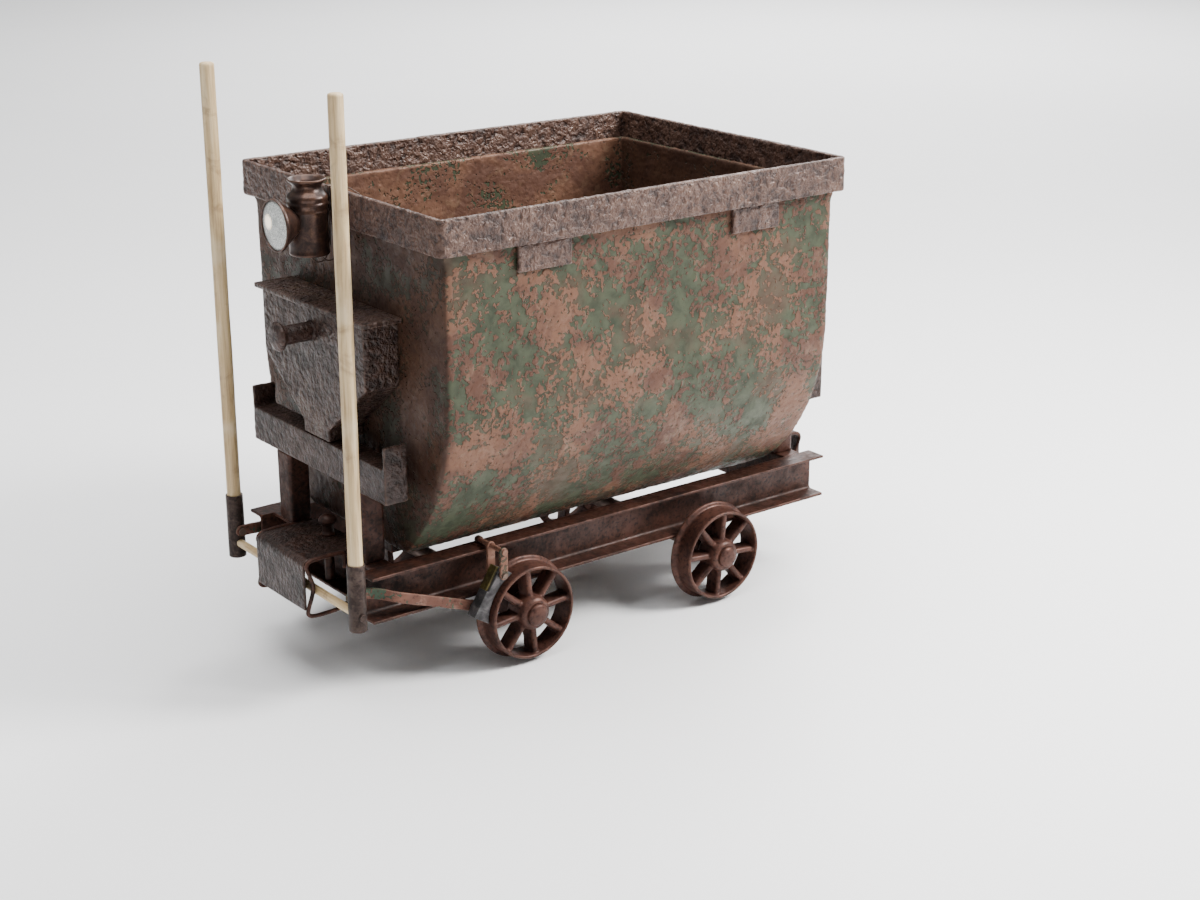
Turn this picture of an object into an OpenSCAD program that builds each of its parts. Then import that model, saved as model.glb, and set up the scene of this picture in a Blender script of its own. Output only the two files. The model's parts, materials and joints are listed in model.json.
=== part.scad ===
// Narrow-gauge mine cart: a tipping tub on a two-axle underframe, with a
// push handle that works brake shoes on the front wheels, a coupler pocket
// at each end and a carbide lamp hung on the rim.
// X runs along the track (the front, with the handle, is at -X), Y across it
// and Z up. The origin is on the ground under the middle of the wheelbase,
// where the lowest point of the wheel flanges is at Z = 0.
// Values called *_h are heights above the rail top, which is one flange
// depth above the ground.

/* [Track and wheels] */
// Distance between the inner faces of the two rails
gauge = 600; // [500:1:760]
// Distance between the axles
wheelbase = 592; // [480:1:720]
// Radius of the wheel tread
tread_radius = 116; // [96:1:140]
// How far the wheel flange reaches below the rail top
flange_depth = 12; // [8:1:16]
// Thickness of the wheel flange
flange_thickness = 10.5; // [8:0.5:13]
// Side play between flange and rail
flange_play = 1; // [0.5:0.5:3]
// Width of the tread, outside the flange
tread_width = 51; // [44:1:60]
// Wall of the wheel rim
wheel_rim_wall = 9; // [7:1:12]
// Number of spokes in a wheel
spoke_count = 8; // [6:1:10]
// Width of a spoke
spoke_width = 16; // [12:1:18]
// Outer radius of the wheel hub
hub_radius = 42; // [38:1:48]
// Radius of the axle journals
axle_radius = 19; // [15:1:21]
// Radial clearance of every turning fit
running_clearance = 0.05; // [0.02:0.01:0.1]

/* [Underframe] */
// Height of the side channels
channel_height = 111; // [95:1:135]
// Width of the channel flanges
channel_flange = 57; // [50:1:68]
// Thickness of the channel web and flanges
channel_wall = 7; // [5:1:9]
// From the axle centre up to the underside of the channels
axle_to_channel = 55; // [46:1:66]
// Gap between the flange tips of a channel and the wheels
wheel_gap = 3.5; // [3:0.5:6]
// Height from the channels up to the end beams
beam_rise = 173; // [145:1:205]
// Height of an end beam
beam_height = 82; // [70:1:98]
// Depth of an end beam along the track
beam_depth = 59; // [50:1:70]
// Plate thickness of the end beams
beam_plate = 8; // [6:1:10]
// How far the beam end plates stand above the beam
end_plate_rise = 53; // [40:1:64]
// Width of a post across the track
post_width = 64; // [52:1:70]
// Rounding of the post corners
post_round = 9; // [5:1:12]

/* [Tub] */
// Length of the tub over its end plates
tub_length = 1138; // [950:1:1366]
// Width of the tub over its side walls
tub_width = 830; // [700:1:990]
// Radius of the curved lower sides
belly_radius = 512; // [500:1:614]
// Depth of the flat bottom below the centre of those curves
belly_depth = 409; // [380:1:440]
// Height of the straight sides above that centre, up to the rim top
side_height = 416; // [350:1:500]
// Thickness of the tub sheet
tub_wall = 14; // [8:1:17]
// Gap between the belly and the edges of the channels
belly_gap = 15; // [12:1:20]
// Height of the rim band
rim_height = 83; // [70:1:100]
// How far the rim band stands out from the walls
rim_reach = 22.5; // [20:0.5:27]
// Thickness of the rim band
rim_wall = 14; // [10:1:16]
// Rounding of the rim band's corners
rim_round = 18; // [17:1:22]
// How far the wall ends below the rim top
wall_drop = 65; // [56:1:70]
// Length of a side tab
tab_length = 145; // [120:1:175]
// Height of a side tab
tab_height = 63; // [52:1:76]
// Thickness of a side tab
tab_thickness = 11; // [8:1:14]
// From the middle of the tub to the middle of a side tab
tab_x = 309; // [260:1:370]

/* [Tub ends] */
// Depth of the box that carries the tub at each end
end_box_depth = 93; // [85:1:94]
// Plate thickness of the end box
end_box_plate = 8; // [6:1:10]
// Width of the foot that stands on the beam
foot_width = 114; // [95:1:136]
// Height of the straight foot below the sloping sides
foot_height = 28; // [23:1:34]
// Height of the sloping sides of the end box
slope_height = 135; // [113:1:160]
// From the belly's centre of curvature up to the shelf
shelf_rise = 163; // [136:1:195]
// Thickness of the shelf plate
shelf_plate = 12; // [10:1:14]
// How far the shelf stands out in front of the end box
shelf_lip = 11; // [9:1:13]
// Radius of the knob's shank
knob_radius = 22; // [18:1:26]
// Radius of the knob's head
knob_head_radius = 35; // [30:1:42]
// How far the knob stands out of the end box
knob_reach = 98; // [82:1:100]

/* [Couplers] */
// How far the coupler plate stands out beyond the channels
coupler_reach = 78; // [72:1:94]
// Width of the coupler plate
coupler_width = 220; // [184:1:230]
// Drop of the coupler plate in front
coupler_drop = 125; // [105:1:140]
// Thickness of the coupler plate
coupler_plate = 8; // [6:1:10]
// Outer bend radius of the coupler plate
coupler_bend = 18; // [14:1:22]
// Radius of the coupling pin
pin_radius = 12; // [10:1:14]
// Radial clearance of the coupling pin in its holes
pin_clearance = 1; // [0.5:0.5:2]
// Radius of the round bar of the stirrups
stirrup_radius = 5; // [4:0.5:6]

/* [Handle] */
// Length of a wooden pole
pole_length = 1112; // [930:1:1330]
// Radius of a pole
pole_radius = 17; // [14:0.5:20]
// Wall of a steel socket
socket_wall = 4; // [3:0.5:5]
// Length of a steel socket
socket_length = 160; // [150:1:190]
// Depth of the pole in its socket
pole_seat = 68; // [50:1:70]
// Height of the socket's lower end above the rail
socket_h = 170; // [150:1:180]
// Height of the crossbar above the socket's lower end
crossbar_rise = 38; // [34:1:42]
// Radius of the wooden crossbar
crossbar_radius = 10; // [8:0.5:11]
// From the crossbar up to the brake bar pin
brake_arm = 34; // [31:1:38]

/* [Brake] */
// Height of a brake bar
bar_height = 27; // [22:1:28]
// Thickness of a brake bar
bar_thickness = 8; // [6:1:9]
// Gap between a brake shoe and the tread
shoe_gap = 3.5; // [3.5:0.5:5]
// Thickness of a shoe, from the tread to its flat back
shoe_depth = 32; // [30:1:38]
// Length of a shoe
shoe_length = 130; // [108:1:150]
// Width of a shoe across the tread
shoe_width = 32; // [26:1:34]
// Thickness of the packing plate on the back of a shoe
packing_plate = 6; // [4:1:7]
// Radius of the brake shaft and the link pin
hanger_pin_radius = 6; // [5:0.5:6.5]
// Radius of the pins at both ends of a brake bar
bar_pin_radius = 5; // [4:0.5:5.5]
// Radial clearance of the brake bar's loose rear pin
loose_clearance = 1.2; // [1:0.1:1.6]

/* [Lamp] */
// Radius of the lamp body
lamp_radius = 46; // [40:1:50]
// Height of the lamp body up to its bead
lamp_body_height = 116; // [98:1:130]
// Height of the lamp's shoulder, neck and flared top
lamp_top_height = 57; // [50:1:64]
// Wall of the lamp's sheet metal
lamp_wall = 2; // [1.5:0.5:3]
// Sideways place of the lamp on the rim
lamp_y = 19; // [-60:1:60]
// Radius of the reflector at the lens
reflector_radius = 60; // [50:1:66]
// From the body's axis to the lens
reflector_reach = 88; // [80:1:104]
// Sideways turn of the reflector, in degrees
reflector_turn = 0; // [-12:1:12]

/* [Hidden] */
$fn = 96;
eps = 0.01;
// Heights above the rail
axle_h = tread_radius;
channel_low_h = axle_h + axle_to_channel;
channel_top_h = channel_low_h + channel_height;
beam_low_h = channel_top_h + beam_rise;
beam_top_h = beam_low_h + beam_height;
crossbar_h = socket_h + crossbar_rise;
bar_pin_h = crossbar_h + brake_arm;
socket_top_h = socket_h + socket_length;
pole_low_h = socket_top_h - pole_seat;

// Distances from the middle, across the track
flange_face_y = gauge / 2 - flange_play;
wheel_back_y = flange_face_y - flange_thickness;
wheel_face_y = flange_face_y + tread_width;
tip_y = wheel_back_y - wheel_gap;
web_in_y = tip_y - channel_flange;
web_out_y = web_in_y + channel_wall;
pole_y = tip_y;
socket_radius = pole_radius + socket_wall;
shelf_half = pole_y - socket_radius - 19;
box_half = shelf_half - 19;
beam_half = pole_y + 16;
coupler_half = coupler_width / 2;
post_y = (web_in_y + coupler_half) / 2;

// Distances from the middle, along the track
wheel_x = wheelbase / 2;
tub_half_l = tub_length / 2;
tub_half_w = tub_width / 2;
beam_back_x = tub_half_l + 36;
beam_front_x = beam_back_x + beam_depth;
chassis_x = beam_front_x + 34;
coupler_x = chassis_x + coupler_reach;
pole_x = chassis_x + 40;
pin_x = beam_back_x + 38;
member_back_x = beam_back_x + 1.5;
box_front_x = tub_half_l + end_box_depth;
shelf_front_x = box_front_x + shelf_lip;

// Belly of the tub: two arcs whose centres lie across the middle
belly_offset = belly_radius - tub_half_w;
belly_h = channel_top_h
    + sqrt(pow(belly_radius + belly_gap, 2) - pow(web_in_y + belly_offset, 2));
rim_top_h = belly_h + side_height;
rim_low_h = rim_top_h - rim_height;
wall_top_h = rim_top_h - wall_drop;
rim_leg = 6;
shelf_h = belly_h + shelf_rise;
knob_h = shelf_h - 67;

// Wheel, along its axis from the back of the flange
wheel_depth = flange_thickness + tread_width;
flange_radius = tread_radius + flange_depth;
hub_start = 2;
journal_end = 52;
collar_gap = 0.4;
collar_end = 60;
cap_start = 63;
hub_end = 71.5;
cap_end = 84.5;
cap_radius = 27;
cap_seat_radius = 24;
stub_radius = 12;

// Brake shoe, in a frame whose first axis points from the wheel's centre to
// the middle of the shoe and whose second axis points up along the shoe
shoe_angle = 147.8;
function on_wheel(out, along) =
    [-wheel_x + out * cos(shoe_angle) + along * sin(shoe_angle),
     axle_h + out * sin(shoe_angle) - along * cos(shoe_angle)];
link_pin = on_wheel(tread_radius + 16.7, 53);
bar_end = on_wheel(tread_radius + 22, -43);
shaft_h = channel_top_h + hanger_pin_radius + 3;
shoe_in_y = flange_face_y + 2;
shoe_out_y = shoe_in_y + shoe_width;
link_wall = 8;
link_round = 10.5;
link_in_y = tip_y + 4;
link_out_y = shoe_out_y + 8;
bar_out_y = tip_y + 2;
bar_in_y = pole_y - socket_radius - 0.5 - bar_thickness;

// Lamp, hung on the front of the rim
hook_thickness = 3;
hook_gap = 0.5;
rim_front_x = tub_half_l + rim_reach;
hook_pad = 4;
lamp_x = rim_front_x + hook_gap + hook_thickness + hook_pad + lamp_radius;
lamp_low_h = rim_top_h - 147;
bead_h = lamp_low_h + lamp_body_height;
reflector_h = lamp_low_h + 76;
lens_thickness = 4;
bezel_width = 8;

RUST = "#6b4238";
DARK_RUST = "#4f3029";
GREEN_PAINT = "#6f7a68";
WOOD = "#bfa482";
STEEL = "#6d6a68";
BRASS = "#6f6238";

// ---- Placing ----

module on_rail() translate([0, 0, flange_depth]) children();

// Parts are drawn at the front left; these carry them to the other places
module at_rear() mirror([1, 0, 0]) children();
module at_right() mirror([0, 1, 0]) children();
module both_sides() { children(); at_right() children(); }
module both_ends() { children(); at_rear() children(); }

// A block between two corners
module block(low, high) translate(low) cube(high - low);

// An upright block about Z with rounded corners
module rounded_block(size_x, size_y, height, round) linear_extrude(height) {
    square([size_x - 2 * round, size_y], center = true);
    square([size_x, size_y - 2 * round], center = true);
    for (x = [-1, 1], y = [-1, 1])
        translate([x * (size_x / 2 - round), y * (size_y / 2 - round)])
            circle(round, $fn = 32);
}

// A cylinder along Y between two distances from the middle, on the left side
module across(x, h, y1, y2, r)
    translate([x, -y1, h]) rotate([90, 0, 0]) cylinder(h = y2 - y1, r = r);

// An outline in X and height, extruded along Y on the left side
module side_plate(y1, y2)
    translate([0, -y1, 0]) rotate([90, 0, 0]) linear_extrude(y2 - y1) children();

// Points of a path whose corners are rounded
function unit(v) = v / norm(v);
function rounded(p, r, steps = 4) = [
    for (i = [0 : len(p) - 1])
        if (i == 0 || i == len(p) - 1) p[i]
        else let (a = p[i] + r * unit(p[i - 1] - p[i]),
                  b = p[i] + r * unit(p[i + 1] - p[i]))
            for (t = [0 : 1 / steps : 1])
                pow(1 - t, 2) * a + 2 * t * (1 - t) * p[i] + t * t * b
];

// A round bar bent in the plane of X and height, at a place in Y
module bent_bar(path, radius, y, sides = 10) {
    n = len(path);
    rings = [for (i = [0 : n - 1])
        let (d1 = i > 0 ? unit(path[i] - path[i - 1]) : unit(path[1] - path[0]),
             d2 = i < n - 1 ? unit(path[i + 1] - path[i]) : d1,
             d = unit(d1 + d2),
             stretch = 1 / (d * d1),
             across = [-d[1], d[0]] * stretch)
        for (k = [0 : sides - 1])
            let (a = 360 * k / sides, u = radius * cos(a))
            [path[i][0] + across[0] * u, y + radius * sin(a), path[i][1] + across[1] * u]];
    walls = [for (i = [0 : n - 2]) for (k = [0 : sides - 1])
        let (k2 = (k + 1) % sides)
        [i * sides + k, i * sides + k2, (i + 1) * sides + k2, (i + 1) * sides + k]];
    first = [for (k = [sides - 1 : -1 : 0]) k];
    last = [for (k = [0 : sides - 1]) (n - 1) * sides + k];
    polyhedron(rings, concat([first], walls, [last]));
}

// ---- Tub ----

// Solid filling the tub, its faces drawn in by a distance
module tub_filling(inset, half_length, top_h) {
    radius = belly_radius - inset;
    half_w = tub_half_w - inset;
    intersection() {
        for_side_arc(-belly_offset, radius, half_length);
        for_side_arc(belly_offset, radius, half_length);
        block([-half_length, -half_w - 1, belly_h - belly_depth + inset],
              [half_length, half_w + 1, belly_h]);
    }
    block([-half_length, -half_w, belly_h - eps], [half_length, half_w, top_h]);
}

module for_side_arc(y, radius, half_length)
    translate([-half_length - 1, y, belly_h]) rotate([0, 90, 0])
        cylinder(h = 2 * half_length + 2, r = radius, $fn = 180);

module tub_sheet() color(GREEN_PAINT) on_rail() difference() {
    tub_filling(0, tub_half_l, wall_top_h);
    tub_filling(tub_wall, tub_half_l + 1, wall_top_h + 1);
}

module tub_end() on_rail() intersection() {
    tub_filling(tub_wall, tub_half_l, wall_top_h);
    block([-tub_half_l, -tub_half_w, 0], [-tub_half_l + tub_wall, tub_half_w, wall_top_h]);
}

module tub_end_front() color(RUST) tub_end();
module tub_end_rear() color(RUST) at_rear() tub_end();

// An angle section all round: an upright band with a foot against the wall
module rim_band() color(RUST) on_rail() difference() {
    rim_block(rim_reach, rim_low_h, rim_top_h, rim_round);
    rim_block(rim_reach - rim_wall, rim_low_h + rim_leg, rim_top_h + 1, rim_round - rim_wall);
    block([-tub_half_l, -tub_half_w, rim_low_h - 1], [tub_half_l, tub_half_w, rim_top_h]);
}

module rim_block(out, low_h, high_h, round) translate([0, 0, low_h])
    rounded_block(tub_length + 2 * out, tub_width + 2 * out, high_h - low_h, round);

module side_tabs() color(RUST) on_rail() both_sides() both_ends()
    block([-tab_x - tab_length / 2, -tub_half_w - tab_thickness, rim_low_h - tab_height],
          [-tab_x + tab_length / 2, -tub_half_w, rim_low_h]);

// Outline of the end box across the track, seen along X, drawn in by t
module end_box_outline(t) {
    slope = [box_half - foot_width / 2, slope_height];
    slope_length = norm(slope);
    foot_top = beam_top_h + foot_gap + foot_height;
    // Where the sloping side, moved in by t, meets the upright sides
    upper = foot_top + slope_height + t * (slope_length - slope[1]) / slope[0];
    lower = foot_top + t * (slope_length - slope[1]) / slope[0];
    half = [[box_half - t, shelf_h - shelf_plate + (t > 0 ? 1 : 0)],
            [box_half - t, upper],
            [foot_width / 2 - t, lower],
            [foot_width / 2 - t, beam_top_h + foot_gap + t]];
    polygon(concat(half, [for (i = [len(half) - 1 : -1 : 0]) [-half[i][0], half[i][1]]]));
}

foot_gap = 0.3;

module end_box() on_rail() difference() {
    translate([-box_front_x, 0, 0]) rotate([90, 0, 90])
        linear_extrude(end_box_depth) end_box_outline(0);
    translate([-box_front_x + end_box_plate, 0, 0]) rotate([90, 0, 90])
        linear_extrude(end_box_depth) end_box_outline(end_box_plate);
}

module end_box_front() color(RUST) end_box();
module end_box_rear() color(RUST) at_rear() end_box();

module end_shelf() on_rail()
    block([-shelf_front_x, -shelf_half, shelf_h - shelf_plate],
          [-tub_half_l, shelf_half, shelf_h]);

module end_shelf_front() color(RUST) end_shelf();
module end_shelf_rear() color(RUST) at_rear() end_shelf();

module end_knob() on_rail() translate([-box_front_x, 0, knob_h]) rotate([0, -90, 0])
    rotate_extrude() polygon([
        [0, 0], [knob_radius + 4, 0], [knob_radius, 6], [knob_radius, knob_reach - 22],
        [knob_head_radius - 3, knob_reach - 18], [knob_head_radius, knob_reach - 12],
        [knob_head_radius - 3, knob_reach - 6], [knob_head_radius - 14, knob_reach - 1],
        [0, knob_reach]]);

module end_knob_front() color(RUST) end_knob();
module end_knob_rear() color(RUST) at_rear() end_knob();

// ---- Underframe ----

module channel() difference() {
    block([-chassis_x, -tip_y, channel_low_h], [chassis_x, -web_in_y, channel_top_h]);
    block([-chassis_x - 1, -tip_y - 1, channel_low_h + channel_wall],
          [chassis_x + 1, -web_out_y, channel_top_h - channel_wall]);
    both_ends() axle_bolt_places() translate([0, 0, channel_low_h - 1])
        cylinder(h = channel_wall + 2, r = box_bolt_radius + 0.2, $fn = 32);
}

module channel_left() color(DARK_RUST) on_rail() channel();
module channel_right() color(DARK_RUST) on_rail() at_right() channel();

// A channel laid across each end, open to the front, bored for the pin
module end_cross_members() color(DARK_RUST) on_rail() both_ends() difference() {
    block([-beam_front_x, -web_in_y, channel_low_h], [-member_back_x, web_in_y, channel_top_h]);
    block([-beam_front_x - 1, -web_in_y - 1, channel_low_h + channel_wall],
          [-member_back_x - channel_wall, web_in_y + 1, channel_top_h - channel_wall]);
    pin_hole(channel_low_h - 1, channel_top_h + 1);
}

module pin_hole(low_h, high_h) translate([-pin_x, 0, low_h])
    cylinder(h = high_h - low_h, r = pin_radius + pin_clearance);

// A channel open to the back, closed by an end plate at each side
module beam() on_rail() {
    difference() {
        block([-beam_front_x, -beam_half + beam_plate, beam_low_h],
              [-beam_back_x, beam_half - beam_plate, beam_top_h]);
        block([-beam_front_x + beam_plate, -beam_half, beam_low_h + beam_plate],
              [-beam_back_x + 1, beam_half, beam_top_h - beam_plate]);
    }
    both_sides()
        block([-beam_front_x, -beam_half, beam_low_h],
              [-beam_back_x, -beam_half + beam_plate, beam_top_h + end_plate_rise]);
}

module beam_front() color(RUST) beam();
module beam_rear() color(RUST) at_rear() beam();

module posts() color(DARK_RUST) on_rail() both_ends() both_sides()
    translate([-(beam_front_x + beam_back_x) / 2, -post_y, channel_top_h])
        rounded_block(beam_front_x + beam_back_x - 2 * member_back_x, post_width,
                      beam_low_h - channel_top_h, post_round);

// A plate bent over the front of the coupler pocket
module coupler_plate() on_rail() {
    top_h = channel_top_h + coupler_plate;
    bend_x = -coupler_x + coupler_bend;
    bend_h = top_h - coupler_bend;
    block([-coupler_x, -coupler_half, top_h - coupler_drop],
          [-coupler_x + coupler_plate, coupler_half, bend_h]);
    difference() {
        block([bend_x, -coupler_half, channel_top_h], [-member_back_x, coupler_half, top_h]);
        pin_hole(channel_top_h - 1, top_h + 1);
    }
    intersection() {
        block([-coupler_x - 1, -coupler_half, bend_h], [bend_x, coupler_half, top_h + 1]);
        difference() {
            across(bend_x, bend_h, -coupler_half, coupler_half, coupler_bend);
            across(bend_x, bend_h, -coupler_half - 1, coupler_half + 1,
                   coupler_bend - coupler_plate);
        }
    }
}

module coupler_plate_front() color(RUST) coupler_plate();
module coupler_plate_rear() color(RUST) at_rear() coupler_plate();

// Bent bars beside the coupler plate; their kink holds the crossbar back
stirrup_bend = 14;
module stirrups() color(DARK_RUST) on_rail() both_ends() both_sides() {
    top_h = channel_top_h + coupler_plate - 2;
    low_h = top_h - coupler_drop - 13;
    front_x = -coupler_x + 3;
    kink_x = -pole_x - crossbar_radius - stirrup_radius - 4;
    back_x = -beam_front_x - stirrup_radius;
    path = [[back_x, top_h - 38], [back_x, top_h],
            [front_x, top_h], [kink_x, crossbar_h + 18],
            [front_x, low_h], [-chassis_x + 8, low_h],
            [-beam_front_x + 14, channel_low_h - stirrup_radius]];
    bent_bar(rounded(path, stirrup_bend), stirrup_radius, -coupler_half - stirrup_radius);
}

// ---- Axles ----

axle_box_half = 32;
axle_box_drop = 27;
box_bolt_radius = 5;

module axle_bolt_places() for (x = [-22, 22])
    translate([-wheel_x + x, -(web_out_y + tip_y) / 2, 0]) children();

module axle_boxes() color(DARK_RUST) on_rail() both_ends() both_sides() difference() {
    block([-wheel_x - axle_box_half, -tip_y + 2, axle_h - axle_box_drop],
          [-wheel_x + axle_box_half, -web_in_y - 6, channel_low_h]);
    across(-wheel_x, axle_h, web_in_y, tip_y, axle_radius);
    axle_bolt_places() translate([0, 0, channel_low_h - 16])
        cylinder(h = 20, r = box_bolt_radius, $fn = 32);
}

module axle_box_bolts() color(STEEL) on_rail() both_ends() both_sides()
    axle_bolt_places() {
        translate([0, 0, channel_low_h - 16])
            cylinder(h = 16 + channel_wall, r = box_bolt_radius, $fn = 32);
        translate([0, 0, channel_low_h + channel_wall]) cylinder(h = 7, r = 9, $fn = 6);
    }

module axle() on_rail() {
    journal = wheel_back_y + journal_end + collar_gap;
    across(-wheel_x, axle_h, -journal, journal, axle_radius);
    both_sides() across(-wheel_x, axle_h, journal - 1, wheel_back_y + collar_end + 2,
                        stub_radius);
}

module axle_front() color(STEEL) axle();
module axle_rear() color(STEEL) at_rear() axle();

// Collars that keep the wheels on
module axle_collars() color(STEEL) on_rail() both_ends() both_sides() difference() {
    across(-wheel_x, axle_h, wheel_back_y + journal_end + collar_gap,
           wheel_back_y + collar_end, cap_seat_radius - 1.5);
    across(-wheel_x, axle_h, wheel_back_y, wheel_back_y + collar_end + 1, stub_radius);
}

// A wheel about Z, from the back of its flange outwards
module wheel_shape() difference() {
    union() {
        rotate_extrude() polygon([
            [tread_radius - wheel_rim_wall, 0], [flange_radius - 4, 0],
            [flange_radius, 3], [flange_radius, flange_thickness - 4],
            [flange_radius - 3, flange_thickness - 1], [tread_radius, flange_thickness + 2],
            [tread_radius, wheel_depth - 3], [tread_radius - 2.5, wheel_depth],
            [tread_radius - wheel_rim_wall + 2, wheel_depth],
            [tread_radius - wheel_rim_wall, wheel_depth - 3]]);
        for (k = [0 : spoke_count - 1]) rotate([0, 0, 360 * (k + 0.12) / spoke_count]) {
            reach = tread_radius - wheel_rim_wall + 2;
            block([hub_radius - 6, -spoke_width / 2, 12],
                  [reach, spoke_width / 2, wheel_depth - 15]);
            translate([hub_radius - 6, 0, wheel_depth - 15]) rotate([0, 90, 0])
                cylinder(h = reach - hub_radius + 6, r = spoke_width / 2, $fn = 32);
        }
        rotate_extrude() polygon([
            [0, hub_start], [hub_radius - 6, hub_start], [hub_radius, hub_start + 6],
            [hub_radius, hub_end - 14], [hub_radius - 3, hub_end - 6],
            [hub_radius - 8, hub_end - 1], [hub_radius - 12, hub_end], [0, hub_end]]);
    }
    translate([0, 0, -1]) cylinder(h = hub_end + 2, r = axle_radius + running_clearance);
    translate([0, 0, journal_end]) cylinder(h = hub_end, r = cap_seat_radius);
}

module hub_cap_shape() rotate_extrude() polygon([
    [0, cap_start], [cap_seat_radius, cap_start], [cap_seat_radius, hub_end],
    [cap_radius, hub_end], [cap_radius, cap_end - 8], [cap_radius - 3, cap_end - 4],
    [cap_radius - 10, cap_end - 1], [0, cap_end]]);

// Carries a piece drawn about Z to the front left wheel's place
module on_axle() on_rail() translate([-wheel_x, -wheel_back_y, axle_h])
    rotate([90, 0, 0]) children();

module wheel_front_left() color(RUST) on_axle() wheel_shape();
module wheel_front_right() color(RUST) at_right() on_axle() wheel_shape();
module wheel_rear_left() color(RUST) at_rear() on_axle() wheel_shape();
module wheel_rear_right() color(RUST) at_rear() at_right() on_axle() wheel_shape();
module hub_cap_front_left() color(RUST) on_axle() hub_cap_shape();
module hub_cap_front_right() color(RUST) at_right() on_axle() hub_cap_shape();
module hub_cap_rear_left() color(RUST) at_rear() on_axle() hub_cap_shape();
module hub_cap_rear_right() color(RUST) at_rear() at_right() on_axle() hub_cap_shape();

// ---- Handle ----

module pole() on_rail() translate([-pole_x, -pole_y, pole_low_h])
    cylinder(h = pole_length, r = pole_radius);

module pole_left() color(WOOD) pole();
module pole_right() color(WOOD) at_right() pole();

bolt_radius = 4;
socket_floor = 4;
module socket() on_rail() difference() {
    translate([-pole_x, -pole_y, socket_h]) cylinder(h = socket_length, r = socket_radius);
    translate([-pole_x, -pole_y, socket_h + socket_floor])
        cylinder(h = socket_length, r = pole_radius);
    across(-pole_x, crossbar_h, 0, pole_y, crossbar_radius);
    across(-pole_x, crossbar_h, pole_y, pole_y + 2 * socket_radius, bolt_radius);
    across(-pole_x, bar_pin_h, 0, pole_y, bar_pin_radius);
}

module socket_left() color(STEEL) socket();
module socket_right() color(STEEL) at_right() socket();

crossbar_half = pole_y - pole_radius;
bolt_bite = 40;
module crossbar() color(WOOD) on_rail() difference() {
    across(-pole_x, crossbar_h, -crossbar_half, crossbar_half, crossbar_radius);
    both_sides() across(-pole_x, crossbar_h, crossbar_half - bolt_bite, pole_y, bolt_radius);
}

module crossbar_bolts() color(STEEL) on_rail() both_sides() {
    across(-pole_x, crossbar_h, crossbar_half - bolt_bite, pole_y + socket_radius, bolt_radius);
    across(-pole_x, crossbar_h, pole_y + socket_radius, pole_y + socket_radius + 6, 9);
}

// Pins that carry the front ends of the brake bars
module bar_pins() color(STEEL) on_rail() both_sides() {
    across(-pole_x, bar_pin_h, bar_in_y - 1, pole_y - pole_radius, bar_pin_radius);
    across(-pole_x, bar_pin_h, bar_in_y - 5, bar_in_y - 1, bar_pin_radius + 3.5);
}

// ---- Brake ----

// A flat bar, set out sideways to pass the channel and bent down to the shoe
module brake_bar() on_rail() {
    side = rounded([[-pole_x, bar_pin_h], [-chassis_x + 14, bar_pin_h + 1], bar_end], 40, 8);
    plan = rounded([[-pole_x - bar_height, bar_in_y], [-chassis_x + 8, bar_in_y],
                    [-chassis_x + 58, bar_out_y], [bar_end[0] + bar_height, bar_out_y]], 16);
    half = bar_height / 2;
    difference() {
        intersection() {
            side_plate(bar_in_y - 1, bar_out_y + bar_thickness + 1) {
                polygon(concat([for (p = side) p + [0, half]],
                               [for (i = [len(side) - 1 : -1 : 0]) side[i] - [0, half]]));
                for (p = [side[0], bar_end]) translate(p) circle(half, $fn = 48);
            }
            translate([0, 0, bar_end[1] - bar_height]) linear_extrude(2 * bar_pin_h)
                polygon(concat([for (p = plan) [p[0], -p[1]]],
                    [for (i = [len(plan) - 1 : -1 : 0])
                        [plan[i][0], -plan[i][1] - bar_thickness]]));
        }
        across(-pole_x, bar_pin_h, bar_in_y - 2, pole_y, bar_pin_radius + running_clearance);
        across(bar_end[0], bar_end[1], bar_out_y - 1, bar_out_y + bar_thickness + 1,
               bar_pin_radius + loose_clearance);
    }
}

module brake_bar_left() color(RUST) brake_bar();
module brake_bar_right() color(RUST) at_right() brake_bar();

// An eye for the shaft on a small foot, on top of the channel
bracket_y = web_in_y + 10;
module brake_brackets() color(DARK_RUST) on_rail() both_sides() difference() {
    union() {
        across(link_pin[0], shaft_h, bracket_y, bracket_y + 14, hanger_pin_radius + 3);
        block([link_pin[0] - 6, -bracket_y - 14, channel_top_h],
              [link_pin[0] + 6, -bracket_y, shaft_h]);
        block([link_pin[0] - 18, -bracket_y - 22, channel_top_h],
              [link_pin[0] + 18, -bracket_y + 2, channel_top_h + 3]);
    }
    across(link_pin[0], shaft_h, bracket_y - 1, bracket_y + 15, hanger_pin_radius);
}

module brake_shafts() color(STEEL) on_rail() both_sides() {
    across(link_pin[0], shaft_h, bracket_y - 2, link_out_y + link_wall + 0.5, hanger_pin_radius);
    across(link_pin[0], shaft_h, link_out_y + link_wall + 0.5, link_out_y + link_wall + 4,
           hanger_pin_radius + 1.5);
}

module brake_links() on_rail() for (y = [link_in_y, link_out_y]) difference() {
    side_plate(y, y + link_wall) {
        for (h = [shaft_h, link_pin[1]]) translate([link_pin[0], h]) circle(link_round, $fn = 48);
        translate([link_pin[0] - link_round, link_pin[1]])
            square([2 * link_round, shaft_h - link_pin[1]]);
    }
    across(link_pin[0], shaft_h, y - 1, y + link_wall + 1, hanger_pin_radius + running_clearance);
    across(link_pin[0], link_pin[1], y - 1, y + link_wall + 1, hanger_pin_radius);
}

module brake_links_left() color(RUST) brake_links();
module brake_links_right() color(RUST) at_right() brake_links();

// Corners of a block in the shoe's frame, as points in X and height
function shoe_quad(out1, out2, along1, along2) =
    [on_wheel(out1, along1), on_wheel(out2, along1),
     on_wheel(out2, along2), on_wheel(out1, along2)];

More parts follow.
